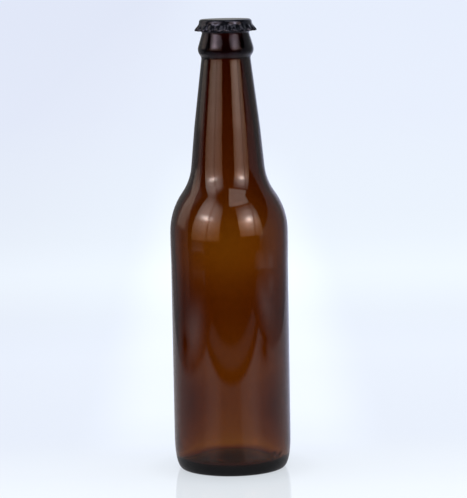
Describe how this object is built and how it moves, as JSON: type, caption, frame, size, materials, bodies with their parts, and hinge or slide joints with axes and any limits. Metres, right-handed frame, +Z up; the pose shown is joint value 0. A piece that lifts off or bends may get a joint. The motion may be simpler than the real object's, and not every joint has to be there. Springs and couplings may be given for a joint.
{
  "type": "glass beer bottle",
  "caption": "Empty longneck bottle of amber glass with a flared, uncrimped crown cap resting on its mouth; stands on a flat bearing ring.",
  "frame": {"origin": "centre of the flat bearing ring under the bottle", "axes": "+Z up along the bottle's axis of symmetry, from the base to the cap"},
  "size_m": [0.0614, 0.0614, 0.235],
  "materials": {
    "amber_glass": "clear amber container glass, fire-polished",
    "black_lacquered_steel": "gloss black lacquer on tinplate"
  },
  "bodies": {
    "root": {"bottle": "amber_glass", "crown_cap": "black_lacquered_steel"}
  },
  "joints": []
}
